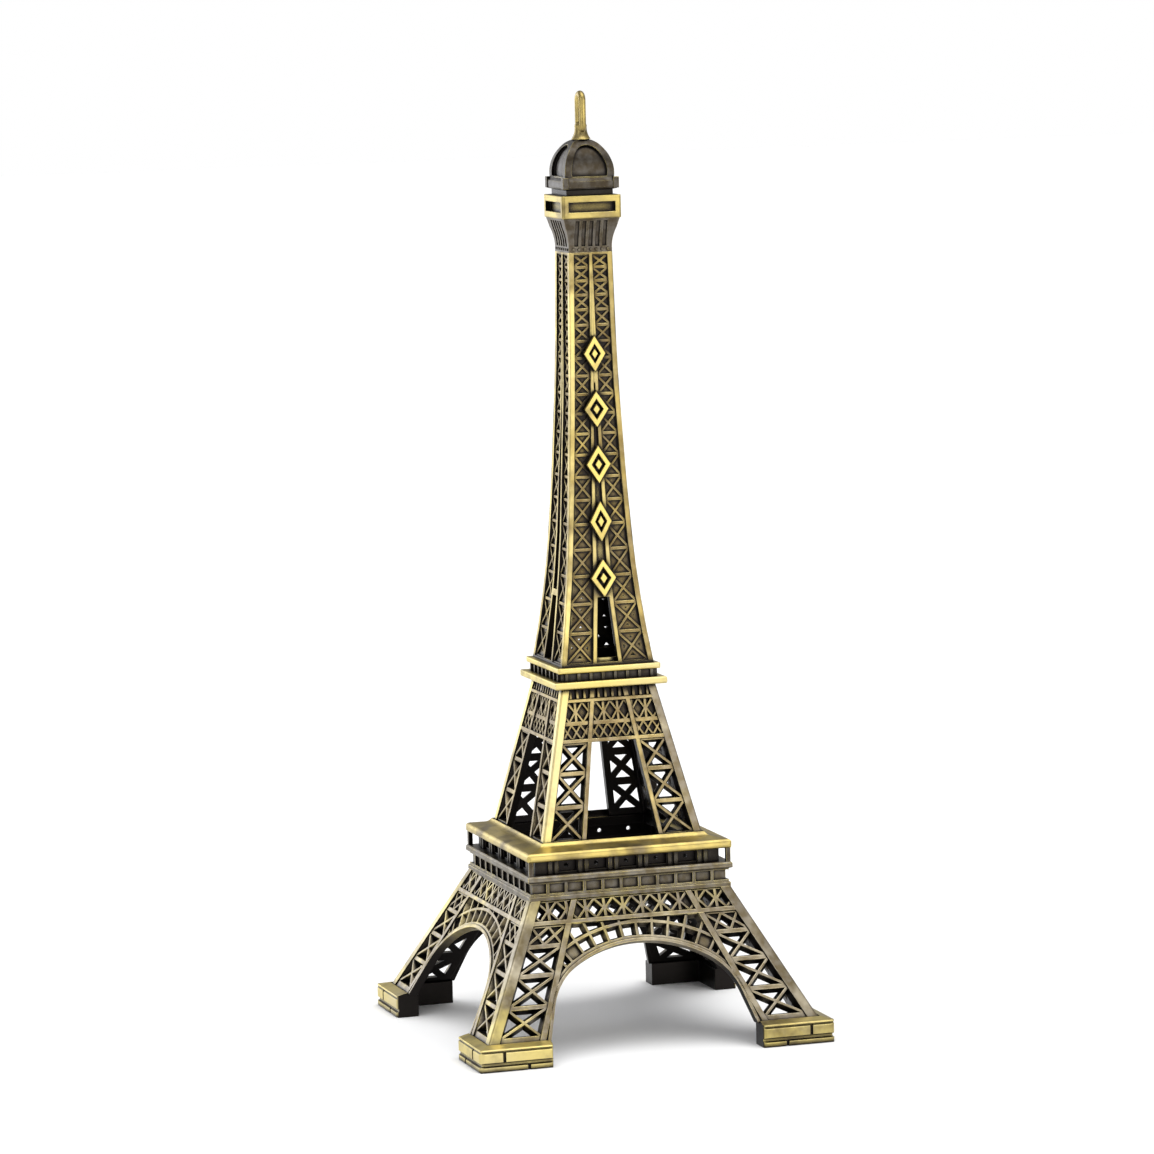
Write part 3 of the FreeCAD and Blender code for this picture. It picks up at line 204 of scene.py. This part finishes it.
def antique_bronze(name, wear, gold, shade=(1, 1, 1), gilding=1.0, silver=0.6, reach=1.2,
                   sooty_and_shaded=0.56, clean_and_unshaded=0.96, two_sided=False, strips=None):
    """Plated bronze: soot and painted shade in its recesses, painted shade on inward faces, rubbed
    to gilt or silver on edges and open faces.

    wear is how much of the faces is rubbed and gold how strongly; shade tints the faces only.
    gilding is the strength of the gilt edges, and silver the share of silvery patches.
    reach (mm) is how near a wall still darkens the colour, and the next two numbers give the
    openness that this darkening fades over. The darkening is soot in the hollows and painted
    shade.
    """
    material = bpy.data.materials.new(name)
    material.use_nodes = True
    tree = material.node_tree
    tree.nodes.clear()
    make = Nodes(tree)
    geometry = make.add("ShaderNodeNewGeometry")
    # Ambient occlusion darkens the recesses: soot that the metal has there, and painted shade.
    shelter = make.add("ShaderNodeAmbientOcclusion", {"Distance": reach * MM}, samples=12)
    exposed = make.smooth(shelter.outputs["AO"], sooty_and_shaded, clean_and_unshaded)
    # Painted shade on faces turned towards the tower's axis.
    if not two_sided:
        exposed = make.math("MULTIPLY", exposed, unshaded_facing_share(make, geometry))

    rounded = make.add("ShaderNodeBevel", {"Radius": EDGE_RADIUS}, samples=6).outputs["Normal"]
    flatness = make.vector("DOT_PRODUCT", rounded, geometry.outputs["Normal"])
    edge = make.smooth(make.math("SUBTRACT", 1.0, flatness), *EDGE_TURN)
    edge = make.math("MULTIPLY", edge,
                     make.math("MULTIPLY", make.patches(*EDGE_PATCHES), gilding))

    rubbed = make.math("ADD", make.noise(*RUB_NOISE), wear - 0.5)
    rubbed = make.math("MULTIPLY", make.smooth(rubbed, *RUB_STEP), gold)
    tone = make.patches(*TONE_PATCHES)
    gilt = make.blend(make.math("MULTIPLY", tone, silver), GILT, SILVERED)
    dull = make.blend(make.patches(*DULL_PATCHES), PATINA, GREY)
    body = make.blend(rubbed, make.blend(wear * BRONZE_SHARE, dull, BRONZE), gilt)
    body = make.vector("MULTIPLY", body, shade)
    if strips:
        worn_strip = make.math("MULTIPLY", strips(make, geometry),
                               make.patches(*STRIP_PATCHES))
        body = make.blend(make.math("MULTIPLY", worn_strip, STRIP_GILDING), body, gilt)
    colour = make.blend(edge, body, gilt)
    # Recesses turn to soot and painted shade, and inward faces to painted shade.
    colour = make.blend(exposed, SOOT_AND_PAINTED_SHADE, colour)

    specks = make.noise(*SPECK_NOISE)
    roughness = make.span(specks, 0.0, 1.0, *ROUGHNESS)
    height = make.math("ADD", make.math("MULTIPLY", specks, SPECK_HEIGHT),
                       make.noise(*DENT_NOISE))
    bump = make.add("ShaderNodeBump", {"Strength": DENT_STRENGTH, "Distance": DENT_DEPTH,
                                       "Height": height, "Normal": rounded})
    surface = make.add("ShaderNodeBsdfPrincipled", {"Base Color": colour, "Metallic": METALLIC,
                                                    "Roughness": roughness,
                                                    "Normal": bump.outputs["Normal"]})
    make.add("ShaderNodeOutputMaterial", {"Surface": surface.outputs["BSDF"]})
    return material


# The finish of each material slot.
SLOTS = {
    "antique_brass": antique_bronze(
        "antique_brass", wear=0.40, gold=0.48, shade=(1.24, 1.26, 1.34), gilding=1.35,
        reach=1.6, sooty_and_shaded=0.62),
    "worn_brass": antique_bronze(
        "worn_brass", wear=0.66, gold=0.90, shade=(0.90, 0.90, 0.86), silver=0.35),
    "dark_patina": antique_bronze(
        "dark_patina", wear=0.12, gold=0.15, shade=(0.75, 0.78, 0.80), gilding=0.6),
}
# The pieces that are worn, tinted, or darkened in their recesses (soot and painted shade) more or
# less than the rest of their slot, by a part of their name.
# Where two entries fit a piece, the later one counts.
SPECIAL = {
    # The column's pits darken more, as soot and painted shade.
    "column_wall": antique_bronze(
        "antique_brass_column", wear=0.40, gold=0.40, shade=(0.98, 0.88, 0.62), silver=0.15,
        reach=1.6, sooty_and_shaded=0.76, clean_and_unshaded=0.99, strips=column_strips),
    "upper_girder": antique_bronze(
        "antique_brass_upper", wear=0.44, gold=0.48, shade=(1.05, 0.98, 0.84), silver=0.35,
        reach=1.6, sooty_and_shaded=0.66, clean_and_unshaded=0.98),
    "upper_leg": antique_bronze(
        "antique_brass_upper_legs", wear=0.42, gold=0.48, shade=(1.05, 1.0, 0.90), silver=0.45,
        reach=1.6, sooty_and_shaded=0.62, clean_and_unshaded=0.97),
    "frieze_ring": antique_bronze(
        "antique_brass_frieze", wear=0.30, gold=0.30, shade=(0.80, 0.83, 0.90), reach=1.6),
    # The gallery's long reach paints deep shade inside its windows.
    "gallery_ring": antique_bronze(
        "dark_patina_and_shade_gallery", wear=0.30, gold=0.25, shade=(0.70, 0.74, 0.80), reach=2.4),
    "gallery_pillars": antique_bronze(
        "worn_brass_pillars", wear=0.10, gold=0.10, shade=(0.60, 0.60, 0.60), gilding=0.5),
    "deck_plate": antique_bronze(
        "worn_brass_deck", wear=0.60, gold=0.85, shade=(0.76, 0.73, 0.66), silver=0.15),
    "leg_post": antique_bronze(
        "worn_brass_leg_post", wear=0.52, gold=0.75, shade=(0.85, 0.86, 0.88), silver=0.70),
    "post_front_right": antique_bronze(
        "worn_brass_dull_post", wear=0.38, gold=0.55, shade=(0.95, 0.96, 1.0), silver=0.70),
    "plinth_front_right": antique_bronze(
        "worn_brass_dull_plinth", wear=0.55, gold=0.75, shade=(0.80, 0.79, 0.70), silver=0.15),
    # The cabin's long reach paints deep shade in its window slot.
    "cabin": antique_bronze(
        "worn_brass_cabin", wear=0.60, gold=0.80, shade=(0.72, 0.69, 0.56), silver=0.15,
        reach=3.0),
    "column_rosettes": antique_bronze(
        "worn_brass_rosettes", wear=0.66, gold=0.90, shade=(0.88, 0.84, 0.66), silver=0.10,
        reach=0.5, two_sided=True),
    "neck": antique_bronze(
        "dark_patina_neck", wear=0.10, gold=0.12, shade=(0.66, 0.65, 0.62), gilding=0.4,
        reach=0.8),
    # The dome is dark patina, and its colour is darkened further by a painted dark reflection. Its
    # long reach paints deep shade in its panels.
    "dome": antique_bronze(
        "dark_patina_and_reflection_dome", wear=0.08, gold=0.08, shade=(0.42, 0.42, 0.41), gilding=0.55,
        reach=2.6),
    "hanging_loop": antique_bronze(
        "worn_brass_loop", wear=0.55, gold=0.75, shade=(0.85, 0.80, 0.64), silver=0.20,
        reach=0.4, two_sided=True),
}

FLAT_ANGLE = math.radians(1.0)
SHARP_ANGLE = math.radians(32)
ROUNDING = 0.07 * MM


def finish_of(row):
    finish = SLOTS[row["material_slot"]]
    for name, special in SPECIAL.items():
        if name in row["node"]:
            finish = special
    return finish


def soften(piece):
    """Merge flat facets, and round the sharp edges whose two faces share their vertices.

    In the frame's meshes only one edge of the neck does; at every other sharp edge each face has
    vertices of its own. The material rounds all edges in its shading.
    """
    merge = piece.modifiers.new("merge", "DECIMATE")
    merge.decimate_type = "DISSOLVE"
    merge.angle_limit = FLAT_ANGLE
    rounding = piece.modifiers.new("rounding", "BEVEL")
    rounding.width = ROUNDING
    rounding.segments = 2
    rounding.limit_method = "ANGLE"
    rounding.angle_limit = SHARP_ANGLE


for row in frame["record"]["subparts"]:
    piece = bpy.data.objects[row["node"]]
    piece.data.materials.clear()
    piece.data.materials.append(finish_of(row))
    soften(piece)


# ---------------------------------------------------------------- stage

FLOOR_SIZE = 6.0
PAPER = (0.93, 0.93, 0.93, 1)
LIT_POINT = (0, 0, 0.08)
# The sky's strength below and above the object, and the heights (-1 to 1) that it changes between.
GLOW_BELOW, GLOW_ABOVE = 0.30, 0.62
LOW_SKY, HIGH_SKY = -0.1, 0.9


def floor():
    bpy.ops.mesh.primitive_plane_add(size=FLOOR_SIZE, location=(0, 0, cad_box[0][2]))
    sheet = bpy.context.object
    sheet.name = "floor"
    material = bpy.data.materials.new("floor_paper")
    material.use_nodes = True
    shader = material.node_tree.nodes["Principled BSDF"]
    shader.inputs["Base Color"].default_value = PAPER
    shader.inputs["Roughness"].default_value = 0.8
    sheet.data.materials.append(material)


def add_lamp(name, kind, direction, **settings):
    """A lamp whose back faces along direction, so that it shines the other way."""
    data = bpy.data.lights.new(name, kind)
    for key, value in settings.items():
        setattr(data, key, value)
    lamp = bpy.data.objects.new(name, data)
    bpy.context.collection.objects.link(lamp)
    lamp.rotation_euler = direction.to_track_quat("Z", "Y").to_euler()
    return lamp


def area_light(name, place, size, power, colour):
    place = Vector(place)
    lamp = add_lamp(name, "AREA", place - Vector(LIT_POINT), size=size, energy=power, color=colour)
    lamp.location = place


def soft_sun(name, direction, angle, strength):
    add_lamp(name, "SUN", Vector(direction), angle=math.radians(angle), energy=strength)


def turned(first, second, angle):
    """Both directions turned by the angle in their plane, the first one towards the second."""
    return (first * math.cos(angle) + second * math.sin(angle),
            second * math.cos(angle) - first * math.sin(angle))


def camera():
    azimuth, elevation, distance = math.radians(-17.918), math.radians(6.838), 0.863051
    pan, tilt, roll = math.radians(-0.149), math.radians(-0.16), math.radians(-1.331)
    target = Vector((0, 0, cad_box[0][2] + (cad_box[1][2] - cad_box[0][2]) / 2))
    back = Vector((math.sin(azimuth) * math.cos(elevation),
                   -math.cos(azimuth) * math.cos(elevation),
                   math.sin(elevation)))
    ahead = -back
    right = ahead.cross(Vector((0, 0, 1))).normalized()
    up = right.cross(ahead)
    ahead, right = turned(ahead, right, pan)
    ahead, up = turned(ahead, up, tilt)
    right, up = turned(right, up, roll)
    data = bpy.data.cameras.new("camera")
    data.lens = 168.57
    data.sensor_width = 36.0
    data.clip_start = 0.01
    eye = bpy.data.objects.new("camera", data)
    bpy.context.collection.objects.link(eye)
    axes = Matrix((right, up, -ahead)).transposed()
    eye.matrix_world = Matrix.Translation(target + back * distance) @ axes.to_4x4()
    bpy.context.scene.camera = eye


def world():
    """A white sheet behind the object; what lights the object is dimmer, most so from below."""
    sky = bpy.data.worlds.new("studio")
    sky.use_nodes = True
    make = Nodes(sky.node_tree)
    background = sky.node_tree.nodes["Background"]
    direction = make.add("ShaderNodeTexCoord").outputs["Generated"]
    height = make.add("ShaderNodeSeparateXYZ", {0: direction}).outputs["Z"]
    glow = make.span(height, LOW_SKY, HIGH_SKY, GLOW_BELOW, GLOW_ABOVE)
    seen = make.add("ShaderNodeLightPath").outputs["Is Camera Ray"]
    unseen = make.math("SUBTRACT", 1.0, seen)
    strength = make.math("ADD", make.math("MULTIPLY", unseen, glow), seen)
    make.feed(background.inputs["Strength"], strength)
    make.feed(background.inputs["Color"], (1, 1, 1, 1))
    bpy.context.scene.world = sky


bpy.context.scene.view_settings.view_transform = "Standard"
floor()
camera()
world()
soft_sun("overhead", direction=(0.10, -0.20, 1.0), angle=60, strength=2.1)
area_light("key", place=(0.62, -1.30, 0.34), size=0.8, power=5.5, colour=(1.0, 0.98, 0.93))
area_light("fill", place=(-0.90, -0.60, 0.40), size=0.6, power=2.5, colour=(0.96, 0.97, 1.0))
area_light("rim", place=(-0.50, 0.90, 0.32), size=0.6, power=3.0, colour=(0.90, 0.93, 1.0))
